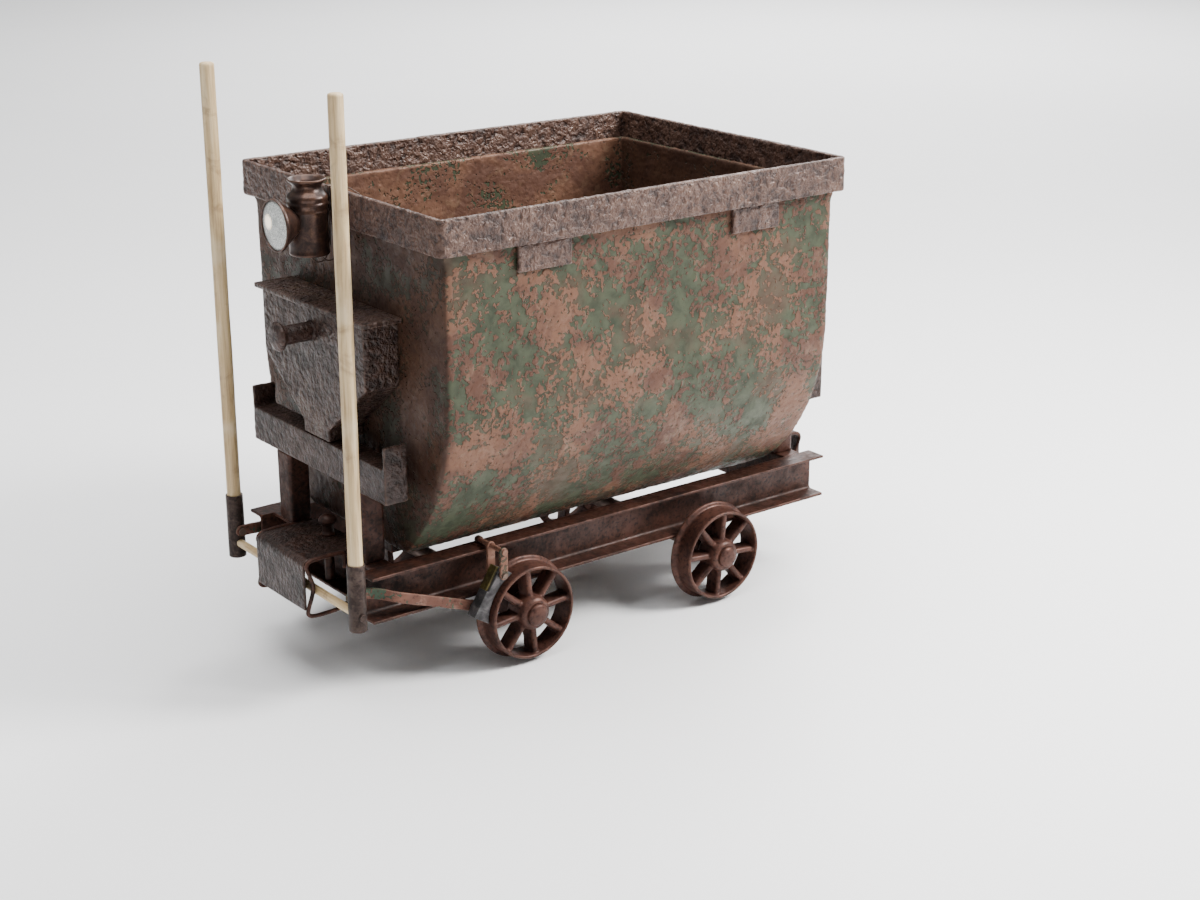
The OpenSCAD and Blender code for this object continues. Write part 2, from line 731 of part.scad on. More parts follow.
packing_from = 3;
module brake_shoe() on_rail() difference() {
    side_plate(shoe_in_y, shoe_out_y)
        polygon(shoe_quad(tread_radius - 22, tread_radius + shoe_depth,
                          -shoe_length / 2, shoe_length / 2));
    side_plate(shoe_in_y - 1, shoe_out_y + 1)
        polygon(shoe_quad(tread_radius + shoe_depth - packing_plate,
                          tread_radius + shoe_depth + 1, packing_from, shoe_length));
    across(-wheel_x, axle_h, shoe_in_y - 1, shoe_out_y + 1, tread_radius + shoe_gap);
    across(link_pin[0], link_pin[1], shoe_in_y - 1, shoe_out_y + 1, hanger_pin_radius);
    across(bar_end[0], bar_end[1], shoe_in_y - 1, shoe_out_y - 4, bar_pin_radius);
}

module brake_shoe_left() color(STEEL) brake_shoe();
module brake_shoe_right() color(STEEL) at_right() brake_shoe();

module shoe_packing() on_rail() side_plate(shoe_in_y, shoe_out_y - 6)
    polygon(shoe_quad(tread_radius + shoe_depth - packing_plate, tread_radius + shoe_depth,
                      packing_from, shoe_length / 2));

module shoe_packing_left() color(BRASS) shoe_packing();
module shoe_packing_right() color(BRASS) at_right() shoe_packing();

module shoe_pins() on_rail() {
    across(link_pin[0], link_pin[1], link_in_y - 2, link_out_y + link_wall + 0.5,
           hanger_pin_radius);
    across(link_pin[0], link_pin[1], link_out_y + link_wall, link_out_y + link_wall + 4,
           hanger_pin_radius + 1);
    across(bar_end[0], bar_end[1], bar_out_y - 1, shoe_out_y - 4, bar_pin_radius);
    across(bar_end[0], bar_end[1], tip_y + 0.3, bar_out_y - 0.4, bar_pin_radius + 3);
}

module shoe_pins_left() color(STEEL) shoe_pins();
module shoe_pins_right() color(STEEL) at_right() shoe_pins();

// ---- Couplings ----

module coupling_pin() on_rail() {
    seat_h = channel_top_h + coupler_plate + 0.3;
    translate([-pin_x, 0, channel_low_h - 6]) cylinder(h = seat_h - channel_low_h + 7, r = pin_radius);
    translate([-pin_x, 0, seat_h]) rotate_extrude() polygon([
        [0, 0], [18, 0], [18, 5], [14, 9], [13, 24], [15, 29], [21, 33], [22, 39],
        [19, 45], [11, 50], [0, 52]]);
}

module coupling_pin_front() color(RUST) coupling_pin();
module coupling_pin_rear() color(RUST) at_rear() coupling_pin();

// ---- Lamp ----

module lamp_axis() on_rail() translate([-lamp_x, lamp_y, 0]) children();

// The reflector's axis as Z, starting at the body's axis
module reflector_axis() lamp_axis() translate([0, 0, reflector_h])
    rotate([0, 0, -reflector_turn]) rotate([0, -90, 0]) children();

module lamp_body() color(RUST) lamp_axis() {
    shoulder = lamp_low_h + lamp_body_height;
    top = shoulder + lamp_top_height;
    rotate_extrude() polygon([
        [0, lamp_low_h], [lamp_radius - 3, lamp_low_h], [lamp_radius, lamp_low_h + 4],
        [lamp_radius - 1, shoulder - 6], [lamp_radius + 1, shoulder - 3],
        [lamp_radius + 1, shoulder + 3], [lamp_radius - 1, shoulder + 6],
        [lamp_radius, shoulder + 18], [lamp_radius - 6, shoulder + 26],
        [lamp_radius - 14, shoulder + 36], [lamp_radius - 14, shoulder + 42],
        [lamp_radius - 3, top - 3], [lamp_radius - 3, top], [lamp_radius - 6, top],
        [lamp_radius - 18, shoulder + 40], [lamp_radius - 18, shoulder + 34],
        [0, shoulder + 34]]);
}

module lamp_reflector() color(RUST) difference() {
    reflector_axis() rotate_extrude() polygon([
        [reflector_radius - 2, reflector_reach], [reflector_radius, reflector_reach],
        [reflector_radius, reflector_reach - bezel_width],
        [reflector_radius - 10, reflector_reach - 18], [28, 36], [0, 36],
        [0, 36 + lamp_wall], [27, 36 + lamp_wall],
        [reflector_radius - 10 - lamp_wall, reflector_reach - 18 + lamp_wall],
        [reflector_radius - lamp_wall, reflector_reach - bezel_width + 1]]);
    lamp_body();
}

module lamp_lens() color("#d8d8d4") reflector_axis()
    translate([0, 0, reflector_reach - lens_thickness - 1])
        cylinder(h = lens_thickness, r = reflector_radius - lamp_wall);

module lamp_burner() color(BRASS) reflector_axis()
    translate([0, 0, lamp_radius - 0.7]) {
        cylinder(h = 12, r = 6, $fn = 32);
        translate([0, 0, 11]) cylinder(h = 7, r = 3, $fn = 32);
    }

// A strap behind the body, over the rim, with a wire tail inside the tub
module lamp_hook() color(DARK_RUST) {
    face_x = rim_front_x + hook_gap;
    top_h = rim_top_h + hook_gap;
    inner_x = rim_front_x - rim_wall - 4;
    on_rail() translate([0, lamp_y, 0]) {
        block([-face_x - hook_thickness, -7, lamp_low_h + 12], [-face_x, 7, top_h]);
        block([-face_x - hook_thickness, -7, top_h - 0.01], [-inner_x, 7, top_h + hook_thickness]);
        for (h = [lamp_low_h + 18, bead_h - 26])
            block([-face_x - hook_thickness - hook_pad, -5, h], [-face_x, 5, h + 12]);
    }
    on_rail() bent_bar(rounded([[-inner_x - 6, top_h + 1.5], [-inner_x + 24, top_h - 2],
        [-inner_x + 62, top_h - 26], [-inner_x + 80, top_h - 44]], 12), 1.5, lamp_y, 8);
}

// ---- Assembly ----

tub_sheet();
tub_end_front();
tub_end_rear();
rim_band();
side_tabs();
end_box_front();
end_box_rear();
end_shelf_front();
end_shelf_rear();
end_knob_front();
end_knob_rear();
channel_left();
channel_right();
end_cross_members();
beam_front();
beam_rear();
posts();
coupler_plate_front();
coupler_plate_rear();
stirrups();
axle_boxes();
axle_box_bolts();
axle_front();
axle_rear();
axle_collars();
brake_brackets();
brake_shafts();
wheel_front_left();
wheel_front_right();
wheel_rear_left();
wheel_rear_right();
hub_cap_front_left();
hub_cap_front_right();
hub_cap_rear_left();
hub_cap_rear_right();
pole_left();
pole_right();
socket_left();
socket_right();
crossbar();
crossbar_bolts();
bar_pins();
brake_bar_left();
brake_bar_right();
brake_links_left();
brake_links_right();
brake_shoe_left();
brake_shoe_right();
shoe_packing_left();
shoe_packing_right();
shoe_pins_left();
shoe_pins_right();
coupling_pin_front();
coupling_pin_rear();
lamp_body();
lamp_reflector();
lamp_lens();
lamp_burner();
lamp_hook();
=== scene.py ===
# Looks for the mine cart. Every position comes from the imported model, in
# metres; +X runs to the rear, -Y is the near (left) side, +Z is up.
import bpy
import bmesh
import json
import math
import numpy as np
from mathutils import Matrix, Vector


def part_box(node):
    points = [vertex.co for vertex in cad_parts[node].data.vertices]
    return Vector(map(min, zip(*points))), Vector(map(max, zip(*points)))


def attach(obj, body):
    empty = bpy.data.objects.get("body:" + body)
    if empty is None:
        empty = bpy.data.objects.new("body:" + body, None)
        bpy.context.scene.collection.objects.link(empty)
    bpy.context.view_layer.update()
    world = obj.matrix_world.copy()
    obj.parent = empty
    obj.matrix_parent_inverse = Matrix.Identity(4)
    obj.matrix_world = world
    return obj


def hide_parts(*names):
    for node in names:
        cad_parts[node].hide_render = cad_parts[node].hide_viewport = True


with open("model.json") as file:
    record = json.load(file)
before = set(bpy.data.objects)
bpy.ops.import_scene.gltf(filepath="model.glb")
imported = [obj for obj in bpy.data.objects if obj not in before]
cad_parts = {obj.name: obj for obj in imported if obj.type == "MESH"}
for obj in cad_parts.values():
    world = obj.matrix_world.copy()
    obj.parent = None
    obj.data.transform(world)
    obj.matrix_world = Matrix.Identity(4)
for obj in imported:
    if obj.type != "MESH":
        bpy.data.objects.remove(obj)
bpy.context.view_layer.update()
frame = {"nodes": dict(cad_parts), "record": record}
nodes = frame["nodes"]
BODY = {n: b for b, ns in frame["record"]["behaviour"]["bodies"].items() for n in ns}
scene = bpy.context.scene
ENDS = ("front", "rear")
SIDES = ("left", "right")
CORNERS = [end + "_" + side for end in ENDS for side in SIDES]
HERE = ("",)  # for nodes that the cart has once

QUICK_CELLS, ROUNDING = ((1.0, 40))


# ---- Camera, floor and light ----

camera_data = bpy.data.cameras.new("camera")
camera_data.sensor_width = 36.0
camera_data.lens = 59.6
camera_data.clip_end = 200
camera = bpy.data.objects.new("camera", camera_data)
scene.collection.objects.link(camera)
right = Vector((0.7912, -0.6116, 0.0)).normalized()
forward = Vector((0.5781, 0.7483, -0.3252)).normalized()
up = right.cross(forward).normalized()
eye = Vector((-2.811, -3.856, 2.018))
camera.matrix_world = Matrix((
    (right.x, up.x, -forward.x, eye.x),
    (right.y, up.y, -forward.y, eye.y),
    (right.z, up.z, -forward.z, eye.z),
    (0, 0, 0, 1)))
scene.camera = camera


def area_light(name, place, target, size, power, tint=(1, 1, 1)):
    """A soft light of the given width and height in metres, turned to its target."""
    data = bpy.data.lights.new(name, "AREA")
    data.shape = "RECTANGLE"
    data.size, data.size_y = size
    data.energy = power
    data.color = tint
    light = bpy.data.objects.new(name, data)
    scene.collection.objects.link(light)
    light.location = place
    aim = Vector(target) - Vector(place)
    light.rotation_euler = aim.to_track_quat("-Z", "Y").to_euler()


area_light("key", (3.3, -2.9, 3.9), (0, 0, 0.5), (1.8, 1.8), 690, (1.0, 0.985, 0.965))
area_light("left_strip", (-3.6, 2.6, 1.5), (-0.6, 0, 0.8), (0.5, 2.0), 12, (0.95, 0.98, 1.0))
area_light("overhead", (0.3, 0.2, 6.0), (0.3, 0.2, 0), (6.0, 6.0), 700)
area_light("backdrop_right", (9.0, 7.0, 7.0), (6.0, 9.0, 0), (5.0, 5.0), 1900)

# The sky is white overhead and darkens toward the horizon and below
world = bpy.data.worlds.new("studio")
scene.world = world
world.use_nodes = True
sky, sky_links = world.node_tree.nodes, world.node_tree.links
split = sky.new("ShaderNodeSeparateXYZ")
sky_links.new(sky.new("ShaderNodeTexCoord").outputs["Generated"], split.inputs[0])
gradient = sky.new("ShaderNodeValToRGB")
gradient.color_ramp.elements[0].color = (0.30, 0.31, 0.32, 1)
gradient.color_ramp.elements[1].color = (1.0, 1.0, 1.0, 1)
sky_links.new(split.outputs["Z"], gradient.inputs["Fac"])
sky_links.new(gradient.outputs["Color"], sky["Background"].inputs["Color"])
sky["Background"].inputs["Strength"].default_value = 0.6


# ---- Node graphs ----

def rgb(text):
    """An sRGB hex colour as a linear RGBA tuple."""
    out = []
    for i in (1, 3, 5):
        v = int(text[i:i + 2], 16) / 255
        out.append(v / 12.92 if v <= 0.04045 else ((v + 0.055) / 1.055) ** 2.4)
    return (*out, 1.0)


class Graph:
    """Short calls for building one material's nodes."""

    def __init__(self, name):
        self.material = bpy.data.materials.new(name)
        self.material.use_nodes = True
        self.nodes = self.material.node_tree.nodes
        self.links = self.material.node_tree.links
        self.shader = self.nodes["Principled BSDF"]
        self.coords = self.nodes.new("ShaderNodeTexCoord").outputs["Object"]

    def put(self, socket, value):
        """Links a socket to the value, or sets it."""
        if isinstance(value, bpy.types.NodeSocket):
            self.links.new(value, socket)
        else:
            socket.default_value = value

    def stretch(self, scale):
        """Coordinates scaled differently along each axis."""
        node = self.nodes.new("ShaderNodeMapping")
        node.inputs["Scale"].default_value = scale
        self.links.new(self.coords, node.inputs["Vector"])
        return node.outputs["Vector"]

    def noise(self, scale, detail=4, rough=0.55, warp=0.0, vector=None):
        node = self.nodes.new("ShaderNodeTexNoise")
        self.put(node.inputs["Vector"], vector or self.coords)
        for key, value in (("Scale", scale), ("Detail", detail), ("Roughness", rough),
                           ("Distortion", warp)):
            node.inputs[key].default_value = value
        return node.outputs["Fac"]

    def attribute(self, name):
        node = self.nodes.new("ShaderNodeAttribute")
        node.attribute_name = name
        return node.outputs["Fac"]

    def pointiness(self):
        return self.nodes.new("ShaderNodeNewGeometry").outputs["Pointiness"]

    def op(self, kind, a, b):
        node = self.nodes.new("ShaderNodeMath")
        node.operation = kind
        self.put(node.inputs[0], a)
        self.put(node.inputs[1], b)
        return node.outputs[0]

    def step(self, value, low, high, to_low=0.0, to_high=1.0):
        """A smooth change from to_low to to_high, as the value goes from low to high."""
        node = self.nodes.new("ShaderNodeMapRange")
        node.interpolation_type = "SMOOTHSTEP"
        for key, v in (("Value", value), ("From Min", low), ("From Max", high),
                       ("To Min", to_low), ("To Max", to_high)):
            self.put(node.inputs[key], v)
        return node.outputs["Result"]

    def ramp(self, value, stops):
        """Colours given as (place, hex colour) pairs along the value."""
        node = self.nodes.new("ShaderNodeValToRGB")
        ramp = node.color_ramp
        while len(ramp.elements) < len(stops):
            ramp.elements.new(0.5)
        for element, (place, colour) in zip(ramp.elements, stops):
            element.position = place
            element.color = rgb(colour)
        self.put(node.inputs["Fac"], value)
        return node.outputs["Color"]

    def mix(self, a, b, amount):
        node = self.nodes.new("ShaderNodeMix")
        node.data_type = "RGBA"
        self.put(node.inputs["Factor"], amount)
        self.put(node.inputs["A"], rgb(a) if isinstance(a, str) else a)
        self.put(node.inputs["B"], rgb(b) if isinstance(b, str) else b)
        return node.outputs["Result"]

    def finish(self, colour, rough, height, depth, metallic=0.0, gloss=0.5):
        """Joins everything to the shader; depth is the bump's height in metres."""
        self.shader.inputs["Specular IOR Level"].default_value = gloss
        self.put(self.shader.inputs["Base Color"], colour)
        self.put(self.shader.inputs["Roughness"], rough)
        self.put(self.shader.inputs["Metallic"], metallic)
        bump = self.nodes.new("ShaderNodeBump")
        bump.inputs["Strength"].default_value = 1.0
        bump.inputs["Distance"].default_value = depth
        self.put(bump.inputs["Height"], height)
        self.links.new(bump.outputs["Normal"], self.shader.inputs["Normal"])
        return self.material


def rusted(name, dark, mid, light, wear_and_highlight, pebbles=0.5, grain=0.05, depth=0.0016,
           rough=(0.42, 0.72), paint=None, paint_cut=0.5, metallic=0.15, lumps=110,
           gloss=0.22):
    """Rusted steel: mottled, pebbled, with a painted highlight along its edges and painted shade
    in its hollows, with paint left in places.
    Where paint is left, the rust stands on it in islands and grains. Pebbles and grain are
    shares of the depth, and lumps is the number of pebbles in a metre."""
    g = Graph(name)
    big = g.noise(5.5, 5, 0.6, 0.3)
    mid_noise = g.noise(27, 6, 0.62, 0.4)
    pebble = g.noise(lumps, 3, 0.5, 0.25)
    fine = g.noise(330, 3, 0.6)
    tone = g.op("ADD", g.op("MULTIPLY", big, 0.5), g.op("MULTIPLY", mid_noise, 0.5))
    colour = g.ramp(tone, [(0.36, dark), (0.5, mid), (0.64, light)])
    colour = g.mix(colour, dark, g.step(pebble, 0.48, 0.34, 0.0, 0.8))
    colour = g.mix(colour, light, g.step(pebble, 0.55, 0.68, 0.0, 0.5))
    colour = g.mix(colour, wear_and_highlight, g.step(fine, 0.6, 0.75, 0.0, 0.2))
    height = g.op("MULTIPLY", pebble, pebbles)
    shine = g.step(mid_noise, 0.35, 0.65, rough[1], rough[0])
    if paint:
        # Paint stays where the mask is above the cut; 0.625 is the two noises' mean share
        grains = g.noise(105, 1, 0.5, 0.35)
        mask = g.op("ADD", g.attribute("flake"), g.op("MULTIPLY", mid_noise, 0.4))
        mask = g.op("ADD", mask, g.op("MULTIPLY", grains, 0.85))
        mask = g.op("ADD", mask, g.op("MULTIPLY", g.attribute("inner"), -0.14))
        mask = g.op("ADD", mask, g.op("MULTIPLY", g.attribute("ends"), -0.1))
        cut = paint_cut + 0.625
        left = g.step(mask, cut - 0.012, cut + 0.012)
        coat = g.ramp(mid_noise, [(0.35, paint[0]), (0.62, paint[1])])
        coat = g.mix(coat, mid, g.step(big, 0.5, 0.66, 0.0, 0.55))
        # Painted shade along the paint's edges, darkening the coat next to the rust
        coat = g.mix(coat, dark, g.step(mask, cut + 0.035, cut + 0.01, 0.0, 0.5))
        bare = g.mix(light, mid, g.step(big, 0.56, 0.42))
        bare = g.mix(bare, wear_and_highlight, g.step(mid_noise, 0.52, 0.66, 0.0, 0.5))
        bare = g.mix(bare, dark, g.step(pebble, 0.42, 0.3, 0.0, 0.55))
        colour = g.mix(bare, coat, left)
        island = g.step(mask, cut + 0.015, cut - 0.055)
        height = g.op("MULTIPLY", height, g.step(left, 0.0, 1.0, 0.32, 0.06))
        height = g.op("ADD", height, g.op("MULTIPLY", island, 0.42))
    height = g.op("ADD", height, g.op("MULTIPLY", fine, grain))
    # Painted shade darkens hollows, and a painted highlight, partly worn metal, lightens edges
    point = g.pointiness()
    colour = g.mix(colour, dark, g.step(point, 0.49, 0.43, 0.0, 0.75))
    edge = g.op("MULTIPLY", g.step(point, 0.515, 0.575), g.step(mid_noise, 0.38, 0.55, 0.35, 1.0))
    colour = g.mix(colour, wear_and_highlight, g.op("MULTIPLY", edge, 0.75))
    # Painted shade on faces toward the cart's ends, inside and out
    colour = g.mix(colour, dark, g.op("MULTIPLY", g.attribute("ends"), 0.62))
    return g.finish(colour, shine, height, depth, metallic, gloss)


def wooden(name, along):
    """Pale, handled wood whose grain runs along one axis (0, 1 or 2)."""
    g = Graph(name)

    def stretched(across, lengthwise):
        return g.stretch([lengthwise if axis == along else across for axis in range(3)])

    grain = g.noise(1.0, 6, 0.6, 0.5, stretched(90.0, 5.0))
    fibre = g.noise(1.0, 3, 0.6, 0.0, stretched(420.0, 16.0))
    smudge = g.noise(16, 5, 0.62, 0.6)
    colour = g.ramp(grain, [(0.3, "#9c8058"), (0.48, "#c0a67c"), (0.68, "#d6c19b")])
    colour = g.mix(colour, "#8a6c49", g.step(fibre, 0.56, 0.74, 0.0, 0.55))
    colour = g.mix(colour, "#6f5436", g.step(smudge, 0.55, 0.74, 0.0, 0.6))
    colour = g.mix(colour, "#e2d2b2", g.step(g.noise(7, 4), 0.56, 0.7, 0.0, 0.35))
    height = g.op("ADD", g.op("MULTIPLY", fibre, 0.5), g.op("MULTIPLY", grain, 0.6))
    return g.finish(colour, g.step(smudge, 0.4, 0.7, 0.62, 0.45), height, 0.0005)


def bare_metal(name, dark, mid, light, rough, metallic=0.6):
    """Dull unpainted metal, clouded and gritty, with a painted highlight along its edges and
    painted shade in its corners.
    """
    g = Graph(name)
    cloud = g.noise(34, 5, 0.6, 0.5)
    grit = g.noise(300, 4, 0.65)
    colour = g.ramp(cloud, [(0.34, dark), (0.5, mid), (0.68, light)])
    colour = g.mix(colour, dark, g.step(grit, 0.5, 0.36, 0.0, 0.5))
    # Painted highlight on edges and painted shade in corners
    point = g.pointiness()
    colour = g.mix(colour, light, g.step(point, 0.52, 0.58, 0.0, 0.7))
    colour = g.mix(colour, dark, g.step(point, 0.48, 0.42, 0.0, 0.7))
    height = g.op("ADD", g.op("MULTIPLY", cloud, 0.6), g.op("MULTIPLY", grit, 0.4))
    return g.finish(colour, g.step(cloud, 0.36, 0.64, rough[1], rough[0]), height, 0.0003,
                    metallic)


MAT = {
    "tub": rusted("tub_flaking_paint", "#261913", "#51372c", "#674939", "#725a48",
                  pebbles=0.8, depth=0.0068, paint=("#2b3124", "#404534"), paint_cut=0.5,
                  rough=(0.4, 0.62), lumps=95),
    "end": rusted("pitted_end_rust", "#1c130f", "#3b2a24", "#503e34", "#705c52",
                  pebbles=1.0, depth=0.0105, rough=(0.3, 0.48), lumps=70, gloss=0.38),
    "rim": rusted("pebbled_rim_rust", "#241714", "#4e382f", "#624b40", "#7c675d",
                  pebbles=1.0, depth=0.0115, rough=(0.3, 0.5), lumps=72, gloss=0.38),
    "frame": rusted("frame_rust", "#180d0a", "#362018", "#482c23", "#614035",
                    pebbles=0.5, depth=0.002, rough=(0.38, 0.62)),
    "beam": rusted("beam_rust", "#19100c", "#32231e", "#45322b", "#5e4a41",
                   pebbles=0.9, depth=0.0058, rough=(0.3, 0.5), lumps=85, gloss=0.3),
    "wheel": rusted("cast_wheel", "#251511", "#452c25", "#57392f", "#6d4e3f",
                    pebbles=0.2, grain=0.03, depth=0.0012, rough=(0.38, 0.54), metallic=0.3),
    "brake": rusted("brake_rust", "#2e1d16", "#5a3c32", "#704f41", "#866759",
                    pebbles=0.4, depth=0.0016, paint=("#2d3d32", "#42503f"), paint_cut=0.58),
    "socket": rusted("socket_steel", "#221a18", "#3c302b", "#4d403a", "#685750",
                     pebbles=0.2, grain=0.04, depth=0.0009, rough=(0.38, 0.58), metallic=0.4),
    "shoe": bare_metal("worn_shoe_iron", "#2b2a2b", "#4b494a", "#6a6767", (0.45, 0.7)),
    "packing": bare_metal("olive_packing", "#2f2a19", "#514828", "#6e6439", (0.4, 0.65)),
    "steel": bare_metal("dull_fastener", "#261d1a", "#43342e", "#655349", (0.4, 0.65)),
    "lamp": bare_metal("lamp_metal", "#201511", "#3a2720", "#5b4032", (0.28, 0.44),
                       metallic=0.5),
    "wood_z": wooden("pole_wood", 2),
    "wood_y": wooden("crossbar_wood", 1),
}


# ---- Meshes ----

def value_noise(p, seed):
    """Smooth noise between 0 and 1 at an array of points."""
    cell = np.floor(p).astype(np.int64)
    f = p - cell
    f = f * f * (3 - 2 * f)
    out = np.zeros(len(p))
    for dx in (0, 1):
        for dy in (0, 1):
            for dz in (0, 1):
                n = ((cell[:, 0] + dx) * 374761393 + (cell[:, 1] + dy) * 668265263
                     + (cell[:, 2] + dz) * 1442695041 + seed * 974711) & 0xffffffff
                n = ((n ^ (n >> 13)) * 1274126177) & 0xffffffff
                n = (n ^ (n >> 16)) & 0xffff
                w = (f[:, 0] if dx else 1 - f[:, 0]) * (f[:, 1] if dy else 1 - f[:, 1])
                out += w * (f[:, 2] if dz else 1 - f[:, 2]) * n
    return out / 65535


def layered(p, size, octaves, seed, fall=0.5):
    """Layers of smooth noise, each half the size of the last; size is in metres."""
    total, weight, w = 0.0, 0.0, 1.0
    for k in range(octaves):
        total = total + w * value_noise(p * (2 ** k / size) + 17.3 * k, seed + k)
        weight += w
        w *= fall
    return total / weight


def smooth_step(x, low, high):
    t = np.clip((x - low) / (high - low), 0, 1)
    return t * t * (3 - 2 * t)


def coordinates(mesh, kind="co"):
    source = mesh.vertices if kind == "co" else mesh.vertex_normals
    out = np.zeros(len(mesh.vertices) * 3, np.float32)
    source.foreach_get("co" if kind == "co" else "vector", out)
    return out.reshape(-1, 3).astype(float)


def store(mesh, name, values):
    attribute = mesh.attributes.new(name, "FLOAT", "POINT")
    attribute.data.foreach_set("value", values.astype(np.float32))


def weather(mesh, pebble, dents, flake, seed):
    """Moves a dense mesh's surface in and out, and stores where paint is left.
    Pebble, dents and flake are the heights of each kind of relief, in metres."""
    p, n = coordinates(mesh), coordinates(mesh, "normal")
    patch = layered(p, 0.095, 5, seed, 0.7)
    patch = (patch - patch.mean()) / max(patch.std(), 1e-6) * 0.11 + 0.5
    store(mesh, "flake", patch)
    store(mesh, "inner", np.zeros(len(p)))
    store(mesh, "ends", np.zeros(len(p)))
    rough = 1 - 0.65 * smooth_step(patch, 0.5, 0.56)
    move = pebble * rough * (layered(p, 0.013, 3, seed + 9, 0.6) - 0.5) * 2
    move += dents * (layered(p, 0.16, 2, seed + 20) - 0.5) * 2
    move -= flake * smooth_step(patch, 0.5, 0.545)
    mesh.vertices.foreach_set("co", (p + n * move[:, None]).astype(np.float32).ravel())
    mesh.update()


def new_piece(name, mesh, like, material, replaces=()):
    """Adds a piece that rides with a CAD node's body, gives it the material, and hides the nodes
    that it replaces.
    """
    piece = bpy.data.objects.new(name, mesh)
    scene.collection.objects.link(piece)
    mesh.materials.clear()
    mesh.materials.append(material)
    mesh.polygons.foreach_set("use_smooth", [True] * len(mesh.polygons))
    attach(piece, BODY[like])
    if replaces:
        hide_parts(*replaces)
    return piece


def relax(mesh, near, rounds):
    """Evens out the marked part of a dense mesh, which rounds the edges in it."""
    ends = np.zeros(len(mesh.edges) * 2, np.int64)
    mesh.edges.foreach_get("vertices", ends)
    ends = ends.reshape(-1, 2)
    ends = ends[near[ends[:, 0]] | near[ends[:, 1]]]
    p = coordinates(mesh)
    size = len(p)
    degree = np.maximum(np.bincount(ends.ravel(), minlength=size), 1)
    for _ in range(rounds):
        total = np.stack([np.bincount(ends[:, 0], p[ends[:, 1], k], size)
                          + np.bincount(ends[:, 1], p[ends[:, 0], k], size)
                          for k in range(3)], axis=1)
        p[near] = (0.4 * p + 0.6 * total / degree[:, None])[near]
    mesh.vertices.foreach_set("co", p.astype(np.float32).ravel())
    mesh.update()


def aged(node, name, material, voxel, soften, pebble, dents, flake, seed, more=(),
         round_off=None):
    """The CAD nodes' own shape with softened edges and a weathered surface. The mesh has
    cells of the size voxel, and soften is how often it is smoothed."""
    mesh = bpy.data.meshes.new(name)
    work = bpy.data.objects.new(name + "_work", mesh)
    scene.collection.objects.link(work)
    tidy = bmesh.new()
    for part in (node, *more):
        tidy.from_mesh(nodes[part].data)
    bmesh.ops.remove_doubles(tidy, verts=tidy.verts, dist=1e-5)
    tidy.to_mesh(mesh)
    tidy.free()
    remesh = work.modifiers.new("remesh", "REMESH")
    remesh.mode = "VOXEL"
    remesh.voxel_size = voxel * QUICK_CELLS
    smooth = work.modifiers.new("smooth", "SMOOTH")
    smooth.factor = 0.5
    smooth.iterations = soften
    bpy.context.view_layer.update()
    result = bpy.data.meshes.new_from_object(
        work.evaluated_get(bpy.context.evaluated_depsgraph_get()))
    bpy.data.objects.remove(work)
    if round_off:
        relax(result, round_off(coordinates(result)), ROUNDING)
    weather(result, pebble, dents, flake, seed)
    return new_piece(name, result, node, material, [node, *more])


def age(places, *rows):
    """Ages CAD nodes once for each place, which fills the {} in their names. A row holds
    the node, the piece, the material's key, and what aged() takes from voxel to seed."""
    for place in places:
        for node, name, key, *sizes in rows:
            aged(node.format(place), name.format(place), MAT[key], *sizes)


def lathe(profile, segments=96):
    """Vertices and faces of a closed outline of (radius, height) turned about Z."""
    verts, rings = [], []
    for r, z in profile:
        if r < 1e-7:
            rings.append([len(verts)])
            verts.append((0, 0, z))
        else:
            rings.append([len(verts) + k for k in range(segments)])
            verts += [(r * math.cos(2 * math.pi * k / segments),
                       r * math.sin(2 * math.pi * k / segments), z) for k in range(segments)]
    faces = []
    for a, b in zip(rings, rings[1:]):
        for k in range(segments):
            k2 = (k + 1) % segments
            if len(a) == 1 and len(b) > 1:
                faces.append((a[0], b[k2], b[k]))
            elif len(b) == 1 and len(a) > 1:
                faces.append((a[k], a[k2], b[0]))
            elif len(a) > 1:
                faces.append((a[k], a[k2], b[k2], b[k]))
    return verts, faces


def to_mesh(name, verts, faces, transform=None):
    """A mesh with its faces turned outward."""
    mesh = bpy.data.meshes.new(name)
    mesh.from_pydata([tuple(v) for v in verts], [], faces)
    if transform is not None:
        mesh.transform(transform)
    tidy = bmesh.new()
    tidy.from_mesh(mesh)
    bmesh.ops.recalc_face_normals(tidy, faces=tidy.faces)
    tidy.to_mesh(mesh)
    tidy.free()
    mesh.update()
    return mesh


def catmull(points, steps):
    """A smooth path through points."""
    p = [Vector(q) for q in points]
    p = [2 * p[0] - p[1]] + p + [2 * p[-1] - p[-2]]
    out = []
    for i in range(1, len(p) - 2):
        for k in range(steps):
            t = k / steps
            out.append(0.5 * ((2 * p[i]) + (p[i + 1] - p[i - 1]) * t
                              + (2 * p[i - 1] - 5 * p[i] + 4 * p[i + 1] - p[i + 2]) * t * t
                              + (3 * p[i] - p[i - 1] - 3 * p[i + 1] + p[i + 2]) * t ** 3))
    out.append(p[-2])
    return out


